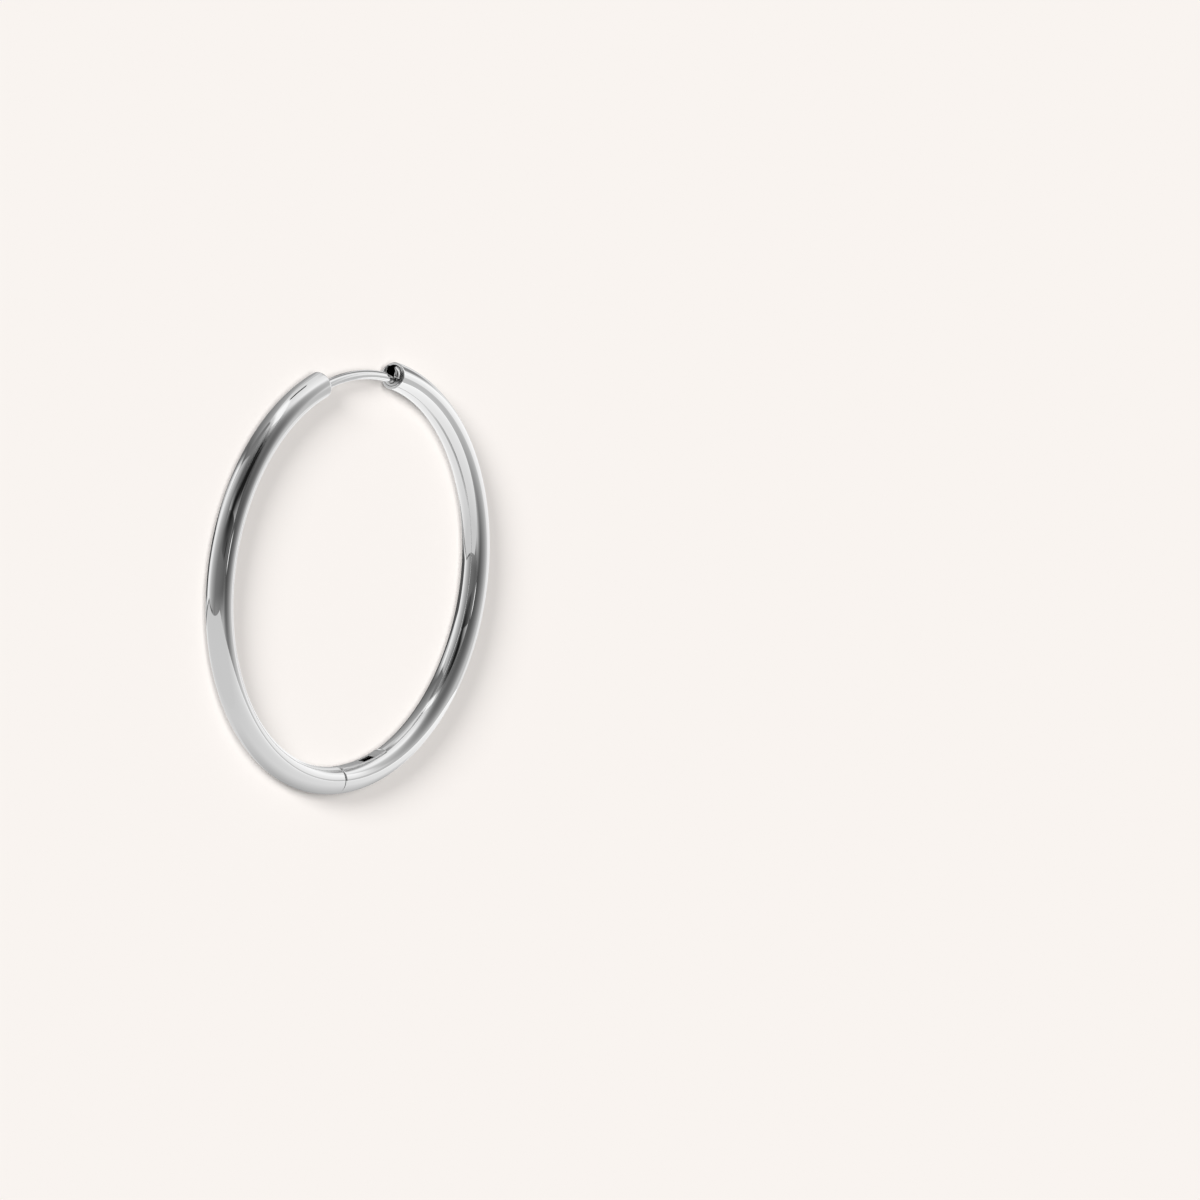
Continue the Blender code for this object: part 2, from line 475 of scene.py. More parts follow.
@dataclass(frozen=True)
class HandlingMarks:
    """Node group of fine hairlines that run round the hoop, and of soft smudges.

    Attributes:
        hoop: The hoop that the hairlines run round.
    """

    hoop: Hoop

    def build(self) -> bpy.types.NodeTree:
        """Makes the group.

        Returns:
            The group, with the outputs Roughness and Height.
        """
        tree = new_group("handling_marks", {"Base Roughness": 0.05, "Hairline": 0.02, "Smudge": 0.02,
                                            "Hairline Scale": 9000.0, "Stretch": 60.0},
                         ("Roughness", "Height"))
        graph = Graph(tree)
        given = graph.node("NodeGroupInput")
        out = graph.node("NodeGroupOutput")
        where = graph.node("ShaderNodeTexCoord").outputs["Object"]
        centred = graph.node("ShaderNodeVectorMath", operation="SUBTRACT")
        graph.join(where, centred.inputs[0])
        centred.inputs[1].default_value = self.hoop.centre
        split = graph.node("ShaderNodeSeparateXYZ")
        graph.join(centred.outputs[0], split.inputs[0])
        turn = graph.math("ARCTAN2", split.outputs["X"], split.outputs["Y"])
        length = graph.math("MULTIPLY", turn, self.hoop.ring_radius)
        squeezed = graph.math("DIVIDE", length, given.outputs["Stretch"])
        radius = graph.math("SQRT", graph.math("ADD", graph.math("POWER", split.outputs["X"], 2.0),
                                               graph.math("POWER", split.outputs["Y"], 2.0)))
        unrolled = graph.node("ShaderNodeCombineXYZ")
        graph.join(squeezed, unrolled.inputs[0])
        graph.join(radius, unrolled.inputs[1])
        graph.join(split.outputs["Z"], unrolled.inputs[2])
        lines = graph.node("ShaderNodeTexNoise")
        graph.join(unrolled.outputs[0], lines.inputs["Vector"])
        graph.join(given.outputs["Hairline Scale"], lines.inputs["Scale"])
        lines.inputs["Detail"].default_value = 3.0
        smudge = graph.noise(centred.outputs[0], 260.0, 3.0)
        line = graph.math("SUBTRACT", lines.outputs["Fac"], 0.5)
        rough = graph.math("ADD", given.outputs["Base Roughness"],
                           graph.math("MULTIPLY", line, given.outputs["Hairline"]))
        rough = graph.math("ADD", rough, graph.math("MULTIPLY", graph.ramp(smudge, 0.45, 0.75),
                                                    given.outputs["Smudge"]), clamp=True)
        graph.join(rough, out.inputs["Roughness"])
        graph.join(lines.outputs["Fac"], out.inputs["Height"])
        return tree


@dataclass(frozen=True)
class Steel:
    """A steel finish with hairlines and smudges.

    Attributes:
        name: Name of the material.
        colour: Linear base colour.
        roughness: Roughness of the clean metal.
        hairline: How much hairlines change the roughness.
        smudge: How much smudges add to it.
        line_scale: Scale of the hairlines.
        stretch: How much longer than wide the hairlines are.
        relief: Depth of the hairlines' bump, in metres.
    """

    name: str
    colour: Colour
    roughness: float
    hairline: float
    smudge: float
    line_scale: float = 9000.0
    stretch: float = 60.0
    relief: float = 0.0

    def build(self, marks: bpy.types.NodeTree) -> bpy.types.Material:
        """Makes the material.

        Args:
            marks: The handling marks group.

        Returns:
            The material.
        """
        material = bpy.data.materials.new(self.name)
        material.use_nodes = True
        graph = Graph(material.node_tree)
        shader = graph.node("ShaderNodeBsdfPrincipled")
        out = graph.node("ShaderNodeOutputMaterial")
        graph.join(shader.outputs[0], out.inputs["Surface"])
        shader.inputs["Base Color"].default_value = (*self.colour, 1)
        shader.inputs["Metallic"].default_value = 1.0
        group = graph.node("ShaderNodeGroup", node_tree=marks)
        for key, value in (("Base Roughness", self.roughness), ("Hairline", self.hairline),
                           ("Smudge", self.smudge), ("Hairline Scale", self.line_scale),
                           ("Stretch", self.stretch)):
            group.inputs[key].default_value = value
        graph.join(group.outputs["Roughness"], shader.inputs["Roughness"])
        if self.relief:
            bump = graph.node("ShaderNodeBump")
            bump.inputs["Strength"].default_value = 1.0
            bump.inputs["Distance"].default_value = self.relief
            graph.join(group.outputs["Height"], bump.inputs["Height"])
            graph.join(bump.outputs["Normal"], shader.inputs["Normal"])
        return material


class Finishes:
    """The earring's materials, each built once."""

    def __init__(self, hoop: Hoop) -> None:
        """Builds the shared group and every finish.

        Args:
            hoop: The hoop that the hairlines run round.
        """
        marks = HandlingMarks(hoop).build()
        self.mirror = Steel("mirror_steel", (0.93, 0.93, 0.93), 0.035, 0.03, 0.03).build(marks)
        self.wire = Steel("drawn_wire", (0.90, 0.90, 0.90), 0.10, 0.06, 0.03, 14000.0, 80.0,
                          0.0004 * MM).build(marks)
        self.catch = Steel("catch_polish", (0.90, 0.90, 0.90), 0.09, 0.06, 0.05, 8000.0, 8.0,
                           0.001 * MM).build(marks)
        # Painted shade: near-black steel for the seam plug, so that the seam gap shows as a dark line of shade
        self.painted_gap_shade = Steel("painted_shade_steel", (0.07, 0.07, 0.07), 0.35, 0.10, 0.05).build(marks)
        self.plain = Steel("plain_steel", (0.66, 0.65, 0.64), 0.22, 0.12, 0.05, 8000.0, 8.0,
                           0.002 * MM).build(marks)
        self.brushed = Steel("brushed_steel", (0.92, 0.92, 0.92), 0.34, 0.22, 0.05, 16000.0, 60.0,
                             0.003 * MM).build(marks)


# ---------------------------------------------------------------------------------------------
# The two tubes
# ---------------------------------------------------------------------------------------------


@dataclass
class TubeHalf:
    """One hollow half of the hoop.

    Attributes:
        hoop: The hoop.
        finishes: The materials.
        sides: Facets round the tube.
        step: Hoop angle of a facet along it, in degrees.
        rim_rounding: Rounding of an outer rim.
        inner_rounding: Rounding of the other rims.
    """

    hoop: Hoop
    finishes: Finishes
    sides: int = 128
    step: float = 0.62
    rim_rounding: float = 0.12 * MM
    inner_rounding: float = 0.03 * MM

    def steps(self, span: float) -> int:
        """Number of facets along a span of hoop angle."""
        return max(2, round(abs(span) / self.step))

    def shell(self, bm: bmesh.types.BMesh, stops: list[float]) -> None:
        """Sweeps the tube's outer surface between stops, with a facet edge at each stop.

        Args:
            bm: The mesh.
            stops: Hoop angles, from one end to the other.
        """
        last = circle_loop(bm, self.hoop.frame(stops[0]), self.hoop.tube_radius, self.sides)
        for start, end in zip(stops, stops[1:]):
            last = edges_of(sweep(bm, self.hoop, last, end - start, self.steps(end - start)))

    def thicken(self, bm: bmesh.types.BMesh) -> None:
        """Gives the outer surface its wall, inwards, and rounds the rims.

        Args:
            bm: The mesh.
        """
        bmesh.ops.remove_doubles(bm, verts=bm.verts, dist=MERGE_DISTANCE)
        bmesh.ops.recalc_face_normals(bm, faces=bm.faces)
        bm.faces.ensure_lookup_table()
        probe = bm.faces[0]
        angle, _ = self.hoop.along(probe.calc_center_median())
        inside = self.hoop.frame(angle).translation
        if (probe.calc_center_median() - inside).dot(probe.normal) < 0:
            bmesh.ops.reverse_faces(bm, faces=bm.faces)
        bmesh.ops.solidify(bm, geom=bm.faces[:], thickness=self.hoop.wall)

    def is_outer(self, edge: bmesh.types.BMEdge) -> bool:
        """Whether an edge lies on the tube's outer surface."""
        return all(self.depth(vert.co) < 0.1 * self.hoop.wall for vert in edge.verts)

    def depth(self, point: Vector) -> float:
        """How far a point lies under the tube's outer surface."""
        _, offset = self.hoop.along(point)
        height = point.z - self.hoop.centre.z
        return self.hoop.tube_radius - math.hypot(offset, height)


@dataclass
class FrontTube(TubeHalf):
    """The half of the hoop that carries the ear post."""

    def build(self) -> bpy.types.Object:
        """Builds and installs the tube.

        Returns:
            The piece.
        """
        half_gap = self.hoop.degrees(self.hoop.seam_gap / 2)
        bm = bmesh.new()
        self.shell(bm, [self.hoop.front_end, -self.hoop.seam + half_gap])
        self.thicken(bm)
        rims = sharp_edges(bm, 60.0)
        outer = [edge for edge in rims if self.is_outer(edge)]
        bevel(bm, outer, self.rim_rounding, 5)
        bevel(bm, [edge for edge in rims if edge.is_valid and edge not in outer], self.inner_rounding, 2)
        return install(as_piece(bm, "front_tube"), Body.FRONT, Slot.TUBE, self.finishes.mirror,
                       ("front_half",))


@dataclass
class BackTube(TubeHalf):
    """The half of the hoop that swings open, with the channel for the hinge strip.

    Attributes:
        channel_length: Length of the channel from the seam.
        channel_half_width: Half its width.
        channel_floor: Radial offset of its floor.
        mouth_rounding: Rounding of the outer rims.
        overshoot: How far the cutting shapes stand past what they cut.
    """

    channel_length: float = 7.05 * MM
    channel_half_width: float = 0.68 * MM
    channel_floor: float = -0.70 * MM
    mouth_rounding: float = 0.084 * MM
    overshoot: float = 1.0 * MM

    def build(self) -> bpy.types.Object:
        """Builds and installs the tube.

        Returns:
            The piece.
        """
        half_gap = self.hoop.degrees(self.hoop.seam_gap / 2)
        seam_face = self.hoop.seam - half_gap
        bm = bmesh.new()
        self.shell(bm, [self.hoop.back_end, seam_face])
        self.thicken(bm)
        rims = sharp_edges(bm, 60.0)
        mouth = [edge for edge in rims if self.is_outer(edge)]
        bevel(bm, mouth, self.mouth_rounding, 4)
        bevel(bm, [edge for edge in rims if edge.is_valid and edge not in mouth], self.inner_rounding, 2)
        piece = as_piece(bm, "back_tube")
        cut(piece, self.channel())
        cut(piece, self.seam_relief())
        return install(piece, Body.BACK, Slot.TUBE, self.finishes.mirror, ("back_half",))

    def channel(self) -> bpy.types.Object:
        """What is cut from the inner side for the hinge strip.

        Returns:
            The cutting shape.
        """
        start = self.hoop.seam + self.hoop.degrees(self.overshoot)
        end = self.hoop.seam - self.hoop.degrees(self.channel_length)
        inner, half = -self.hoop.tube_radius - self.overshoot, self.channel_half_width
        outline = [(inner, -half), (self.channel_floor, -half), (self.channel_floor, half), (inner, half)]
        bm = bmesh.new()
        section = polygon(bm, self.hoop.frame(start), outline)
        sweep(bm, self.hoop, [section], end - start, self.steps(end - start))
        return as_piece(bm, "channel")

    def seam_relief(self) -> bpy.types.Object:
        """What is cut from the outer side of the seam, so that the rim turns past the front half.

        Returns:
            The cutting shape.
        """
        pin = self.hoop.pin
        radius = pin.x - self.hoop.seam_gap / 2
        low = pin.y - radius
        outline = arc((pin.x, pin.y), radius, 180, 270, 32)
        outline += [(-self.overshoot, low), (-self.overshoot, pin.y)]
        half = self.hoop.tube_radius + self.overshoot
        return as_piece(slab(self.hoop, outline, half), "seam_relief")


# ---------------------------------------------------------------------------------------------
# Ear post, catch and hinge
# ---------------------------------------------------------------------------------------------


def plug(hoop: Hoop, name: str, start: float, depth: float, radius: float) -> bpy.types.Object:
    """A round plug inside a tube's end.

    Args:
        hoop: The hoop.
        name: Name of the piece.
        start: Hoop angle of its end face.
        depth: Its length towards larger hoop angles; negative towards smaller ones.
        radius: Its radius.

    Returns:
        The piece.
    """
    bm = bmesh.new()
    rim = circle_loop(bm, hoop.frame(start), radius, PLUG_SIDES)
    face = bmesh.ops.contextual_create(bm, geom=rim)["faces"]
    sweep(bm, hoop, face, hoop.degrees(depth), PLUG_STEPS)
    bmesh.ops.recalc_face_normals(bm, faces=bm.faces)
    bevel(bm, sharp_edges(bm, 60.0), PLUG_ROUNDING, 3)
    return as_piece(bm, name)


@dataclass
class EarPost:
    """The end plug of the front half and the curved wire soldered to it.

    Attributes:
        hoop: The hoop.
        finishes: The materials.
        plug_radius: Radius of the end plug.
        plug_depth: Its length.
        radius: Radius of the wire.
        offset: Radial offset of the wire from the tube's centre line.
        reach: Length of wire inside the mouth.
        tip_rounding: Rounding of the wire's tip.
        fillet: Size of the solder fillet round the wire's foot.
        sides: Facets round the wire.
    """

    hoop: Hoop
    finishes: Finishes
    plug_radius: float = 0.97 * MM
    plug_depth: float = 1.6 * MM
    radius: float = 0.425 * MM
    offset: float = -0.30 * MM
    reach: float = 1.6 * MM
    tip_rounding: float = 0.30 * MM
    fillet: float = 0.10 * MM
    sides: int = 48

    def wire_stations(self) -> list[Place]:
        """Hoop angle and radius of each ring of the wire, from the fillet to the tip.

        Returns:
            The stations.
        """
        foot = self.hoop.front_end
        stations = []
        for x, y in arc((self.fillet, self.radius + self.fillet), self.fillet, 180, 270, 6):
            stations.append((foot + self.hoop.degrees(x), y))
        tip = self.hoop.back_end + self.hoop.degrees(self.reach)
        shoulder = tip - self.hoop.degrees(self.tip_rounding)
        start = stations[-1][0]
        steps = 60
        stations += [(start + (shoulder - start) * i / steps, self.radius) for i in range(1, steps + 1)]
        for x, y in arc((0, self.radius - self.tip_rounding), self.tip_rounding, 80, 5, 7):
            stations.append((shoulder + self.hoop.degrees(x), y))
        return stations

    def build(self) -> list[bpy.types.Object]:
        """Builds and installs the wire and its plug.

        Returns:
            The pieces.
        """
        bm = bmesh.new()
        loops = [circle_loop(bm, self.hoop.frame(angle, self.offset), radius, self.sides)
                 for angle, radius in self.wire_stations()]
        for loop, following in zip(loops, loops[1:]):
            bmesh.ops.bridge_loops(bm, edges=loop + following)
        for loop in (loops[0], loops[-1]):
            bmesh.ops.contextual_create(bm, geom=loop)
        wire = install(as_piece(bm, "post_wire"), Body.FRONT, Slot.WIRE, self.finishes.wire, ("ear_post",))
        end = plug(self.hoop, "post_plug", self.hoop.front_end, -self.plug_depth, self.plug_radius)
        install(end, Body.FRONT, Slot.WIRE, self.finishes.mirror, ("ear_post",))
        return [wire, end]


@dataclass
class Catch:
    """The slotted plug in the mouth of the back half, with an ear on each side of the post.

    Attributes:
        hoop: The hoop.
        finishes: The materials.
        plug_radius: Radius of the plug.
        slot_half_width: Half the width of the U slot.
        slot_offset: Radial offset of the slot's round bottom.
        depth: Depth of the slot's plug.
        ear_reach: How far the ears stand out of the mouth.
        ear_floor: Radial offset above which there are ears.
        rounding: Rounding of the edges.
        tip_rounding: Rounding of the ears' tips.
    """

    hoop: Hoop
    finishes: Finishes
    plug_radius: float = 0.97 * MM
    slot_half_width: float = 0.475 * MM
    slot_offset: float = -0.30 * MM
    depth: float = 2.2 * MM
    ear_reach: float = 0.55 * MM
    ear_floor: float = -0.20 * MM
    rounding: float = 0.05 * MM
    tip_rounding: float = 0.16 * MM

    def outline(self) -> list[Place]:
        """The plug's section with its slot, as radial offsets and heights."""
        mouth = math.degrees(math.asin(self.slot_half_width / self.plug_radius))
        rim = arc((0, 0), self.plug_radius, mouth, 360 - mouth, 72)
        return rim + arc((self.slot_offset, 0), self.slot_half_width, 270, 90, 32)

    def build(self) -> bpy.types.Object:
        """Builds and installs the catch.

        Returns:
            The piece.
        """
        bm = bmesh.new()
        place = self.hoop.frame(self.hoop.back_end)
        section = polygon(bm, place, self.outline())
        sweep(bm, self.hoop, [section], self.hoop.degrees(self.depth), 8)
        bmesh.ops.remove_doubles(bm, verts=bm.verts, dist=MERGE_DISTANCE)
        bmesh.ops.recalc_face_normals(bm, faces=bm.faces)
        outward = place.col[0].to_3d()
        floor = self.hoop.frame(self.hoop.back_end, self.ear_floor).translation
        end_faces = [face for face in bm.faces if self.hoop.all_at(face.verts, self.hoop.back_end)]
        geom = end_faces + list({edge for face in end_faces for edge in face.edges})
        geom += list({vert for face in end_faces for vert in face.verts})
        bmesh.ops.bisect_plane(bm, geom=geom, plane_co=floor, plane_no=outward)
        ears = [face for face in bm.faces if self.hoop.all_at(face.verts, self.hoop.back_end)
                and self.hoop.along(face.calc_center_median())[1] > self.ear_floor]
        raised = bmesh.ops.extrude_face_region(bm, geom=ears)
        turn = Matrix.Rotation(math.radians(self.hoop.degrees(self.ear_reach)), 4, "Z")
        about = Matrix.Translation(self.hoop.centre)
        bmesh.ops.transform(bm, matrix=about @ turn @ about.inverted(), verts=verts_of(raised["geom"]))
        bmesh.ops.delete(bm, geom=ears, context="FACES_ONLY")
        bmesh.ops.recalc_face_normals(bm, faces=bm.faces)
        tip = self.hoop.back_end - self.hoop.degrees(self.ear_reach)
        tips = [edge for edge in sharp_edges(bm, 50.0) if self.hoop.all_at(edge.verts, tip)]
        bevel(bm, tips, self.tip_rounding, 5, clamp=False)
        bevel(bm, sharp_edges(bm, 50.0), self.rounding, 3)
        return install(as_piece(bm, "catch_jaws"), Body.BACK, Slot.CATCH, self.finishes.catch,
                       ("catch_fork",))


@dataclass
class Hinge:
    """Knuckle, rivet and strip of the hinge.

    Attributes:
        hoop: The hoop.
        finishes: The materials.
        plug_radius: Radius of the knuckle's plug.
        plug_depth: Its length.
        eye_radius: Outer radius of the knuckle's eye.
        pin_radius: Radius of the rivet.
        pin_half_length: Half its length.
        clearance: Room between the eye and the rivet.
        tongue_half_width: Half the tongue's thickness.
        tongue_top: Radial offset of the tongue's inner side.
        tongue_bottom: Radial offset of its outer side.
        tongue_root: Length of tongue in the plug.
        strip_half_width: Half the strip's width.
        strip_top: Radial offset of the strip's inner face.
        strip_thickness: Its thickness.
        strip_length: Where it ends, from the seam.
        window_start: Where its window starts, from the seam.
        window_length: Length of the window.
        window_half_width: Half the window's width.
        rounding: Rounding of the edges.
    """

    hoop: Hoop
    finishes: Finishes
    plug_radius: float = 0.97 * MM
    plug_depth: float = 1.6 * MM
    eye_radius: float = 0.36 * MM
    pin_radius: float = 0.175 * MM
    pin_half_length: float = 0.93 * MM
    clearance: float = 0.02 * MM
    tongue_half_width: float = 0.40 * MM
    tongue_top: float = -0.60 * MM
    tongue_bottom: float = 0.10 * MM
    tongue_root: float = 0.8 * MM
    strip_half_width: float = 0.60 * MM
    strip_top: float = -1.19 * MM
    strip_thickness: float = 0.25 * MM
    strip_length: float = 6.97 * MM
    window_start: float = 3.85 * MM
    window_length: float = 1.7 * MM
    window_half_width: float = 0.40 * MM
    rounding: float = 0.02 * MM

    def build(self) -> list[bpy.types.Object]:
        """Builds and installs the hinge's pieces.

        Returns:
            The pieces.
        """
        return [self.seam_plug(), self.knuckle(), self.rivet(), self.strip()]

    def seam_plug(self) -> bpy.types.Object:
        """The knuckle's plug in the front half.

        Returns:
            The piece.
        """
        start = -self.hoop.seam + self.hoop.degrees(self.hoop.seam_gap / 2)
        end = plug(self.hoop, "seam_plug", start, self.plug_depth, self.plug_radius)
        # The seam plug wears the painted shade finish: near-black where it shows through the seam gap, in
        # place of the shade inside it
        return install(end, Body.FRONT, Slot.HINGE, self.finishes.painted_gap_shade, ("hinge_tongue",))

    def knuckle(self) -> bpy.types.Object:
        """The tongue and the eye that turns on the rivet.

        Returns:
            The piece.
        """
        pin = self.hoop.pin
        line = self.hoop.frame(self.hoop.seam).translation.y
        top, bottom = line - self.tongue_top, line - self.tongue_bottom
        eye = arc((pin.x, pin.y), self.eye_radius, 70, -110, 28)
        gap = self.hoop.seam_gap
        outline = [(-self.tongue_root, bottom), (-self.tongue_root, top), (gap, top), *eye, (gap, bottom)]
        bm = slab(self.hoop, outline, self.tongue_half_width)
        bmesh.ops.recalc_face_normals(bm, faces=bm.faces)
        bevel(bm, sharp_edges(bm, 50.0), self.rounding, 2)
        piece = as_piece(bm, "hinge_knuckle")
        hole = self.round_bar("eye_hole", self.pin_radius + self.clearance, 2 * self.tongue_half_width, 0.0)
        cut(piece, hole)
        return install(piece, Body.FRONT, Slot.HINGE, self.finishes.plain, ("hinge_tongue",))

    def round_bar(self, name: str, radius: float, half_length: float, rounding: float) -> bpy.types.Object:
        """A bar on the hinge's axis.

        Args:
            name: Its name.
            radius: Its radius.
            half_length: Half its length.
            rounding: Rounding of its ends.

        Returns:
            The bar.
        """
        bm = bmesh.new()
        loop = circle_loop(bm, Matrix.Translation(self.hoop.pin - Vector((0, 0, half_length))), radius, 40)
        face = bmesh.ops.contextual_create(bm, geom=loop)["faces"]
        raised = bmesh.ops.extrude_face_region(bm, geom=face)
        bmesh.ops.translate(bm, verts=verts_of(raised["geom"]), vec=(0, 0, 2 * half_length))
        bmesh.ops.recalc_face_normals(bm, faces=bm.faces)
        if rounding:
            bevel(bm, sharp_edges(bm, 60.0), rounding, 4)
        return as_piece(bm, name)

    def rivet(self) -> bpy.types.Object:
        """The hinge's cross pin.

        Returns:
            The piece.
        """
        bar = self.round_bar("hinge_rivet", self.pin_radius, self.pin_half_length, 0.05 * MM)
        return install(bar, Body.BACK, Slot.HINGE, self.finishes.plain, ("hinge_pin",))

    def strip(self) -> bpy.types.Object:
        """The brushed strip in the channel, with its window.

        Returns:
            The piece.
        """
        hoop = self.hoop
        stops = [hoop.seam - hoop.degrees(length) for length in (
            hoop.seam_gap, self.window_start, self.window_start + self.window_length, self.strip_length)]
        heights = (-self.strip_half_width, -self.window_half_width,
                   self.window_half_width, self.strip_half_width)
        bm = bmesh.new()
        place = hoop.frame(stops[0])
        verts = [bm.verts.new(place @ Vector((self.strip_top, height, 0))) for height in heights]
        last = [bm.edges.new(pair) for pair in zip(verts, verts[1:])]
        for start, end in zip(stops, stops[1:]):
            last = edges_of(sweep(bm, hoop, last, end - start, max(2, round(abs(end - start) / 0.6))))
        bmesh.ops.remove_doubles(bm, verts=bm.verts, dist=MERGE_DISTANCE)
        window = [face for face in bm.faces if self.in_window(face, stops)]
        bmesh.ops.delete(bm, geom=window, context="FACES")
        bmesh.ops.recalc_face_normals(bm, faces=bm.faces)
        bm.faces.ensure_lookup_table()
        outward = bm.faces[0].calc_center_median() - hoop.centre
        if bm.faces[0].normal.dot(outward.to_2d().to_3d()) > 0:
            bmesh.ops.reverse_faces(bm, faces=bm.faces)
        bmesh.ops.solidify(bm, geom=bm.faces[:], thickness=self.strip_thickness)
        bmesh.ops.recalc_face_normals(bm, faces=bm.faces)
        bevel(bm, sharp_edges(bm, 60.0), self.rounding, 2)
        return install(as_piece(bm, "hinge_strip"), Body.BACK, Slot.LEAF, self.finishes.brushed,
                       ("hinge_leaf",))

    def in_window(self, face: bmesh.types.BMFace, stops: list[float]) -> bool:
        """Whether a face of the strip lies in its window."""
        middle = face.calc_center_median()
        angle, _ = self.hoop.along(middle)
        height = abs(middle.z - self.hoop.centre.z)
        return stops[2] < angle < stops[1] and height < self.window_half_width


# ---------------------------------------------------------------------------------------------
# Studio
# ---------------------------------------------------------------------------------------------


def srgb(level: float) -> float:
    """Linear value of a display level from 0 to 255."""
    share = level / 255
    return share / 12.92 if share <= 0.04045 else ((share + 0.055) / 1.055) ** 2.4


def toward(azimuth: float, elevation: float) -> Vector:
    """Unit vector of an azimuth, in degrees from +Y towards +X, and an elevation."""
    turn, rise = math.radians(azimuth), math.radians(elevation)
    return Vector((math.sin(turn) * math.cos(rise), math.cos(turn) * math.cos(rise), math.sin(rise)))


def studio_plane(name: str, material: str, half_size: float) -> tuple[bpy.types.Object, Graph, bpy.types.Node]:
    """A flat square with an empty material.

    Args:
        name: Name of the square.
        material: Name of its material.
        half_size: Half its width.

    Returns:
        The square, its material's graph and that graph's output node.
    """
    bm = bmesh.new()
    bmesh.ops.create_grid(bm, x_segments=1, y_segments=1, size=half_size)
    mesh = bpy.data.meshes.new(name)
    bm.to_mesh(mesh)
    bm.free()
    item = bpy.data.objects.new(name, mesh)
    bpy.context.scene.collection.objects.link(item)
    look = bpy.data.materials.new(material)
    look.use_nodes = True
    mesh.materials.append(look)
    graph = Graph(look.node_tree)
    return item, graph, graph.node("ShaderNodeOutputMaterial")


@dataclass(frozen=True)
class Card:
    """A flat studio card that shows only in reflections.

    Attributes:
        name: Its name.
        place: Its middle, from the hoop's centre.
        size: Width and height.
        low: Display level of its light at the lower edge, from 0 to 255.
        high: The same at the upper edge.
        feather: Width of its soft border, as a share of the half width and half height.
        lean: Turn about its own axis, in degrees.
        facing: Direction that it faces, or None to face the hoop.
    """

    name: str
    place: Vector
    size: Place
    low: float
    high: float
    feather: Place = (0.0, 0.0)
    lean: float = 0.0
    facing: Vector | None = None

    def matrix(self, middle: Vector) -> Matrix:
        """Where the card stands, with its half sizes as the scale.

        Args:
            middle: The hoop's centre.

        Returns:
            The card's matrix.
        """
        z = (self.facing or -self.place).normalized()
        x = Vector((0, 0, 1)).cross(z)
        x = x.normalized() if x.length > 1e-6 else Vector((1, 0, 0))
        turn = Matrix((x, z.cross(x), z)).transposed().to_4x4()
        turn = turn @ Matrix.Rotation(math.radians(self.lean), 4, "Z")
        scale = Matrix.Diagonal((*(side / 2 for side in self.size), 1, 1))
        return Matrix.Translation(middle + self.place) @ turn @ scale


@dataclass(frozen=True)
class Sun:
    """A distant light that shows only on matt surfaces.

    Attributes:
        name: Its name.
        place: Azimuth and elevation that its light comes from, in degrees.
        softness: Width of the light, in degrees.
        strength: Its strength.
    """

    name: str
    place: Place
    softness: float
    strength: float

    def build(self) -> None:
        """Makes the light."""
        lamp = bpy.data.lights.new(self.name, "SUN")
        lamp.energy = self.strength
        lamp.angle = math.radians(self.softness)
        item = bpy.data.objects.new(self.name, lamp)
        bpy.context.scene.collection.objects.link(item)
        item.matrix_world = toward(*self.place).to_track_quat("Z", "Y").to_matrix().to_4x4()
        item.visible_glossy = False


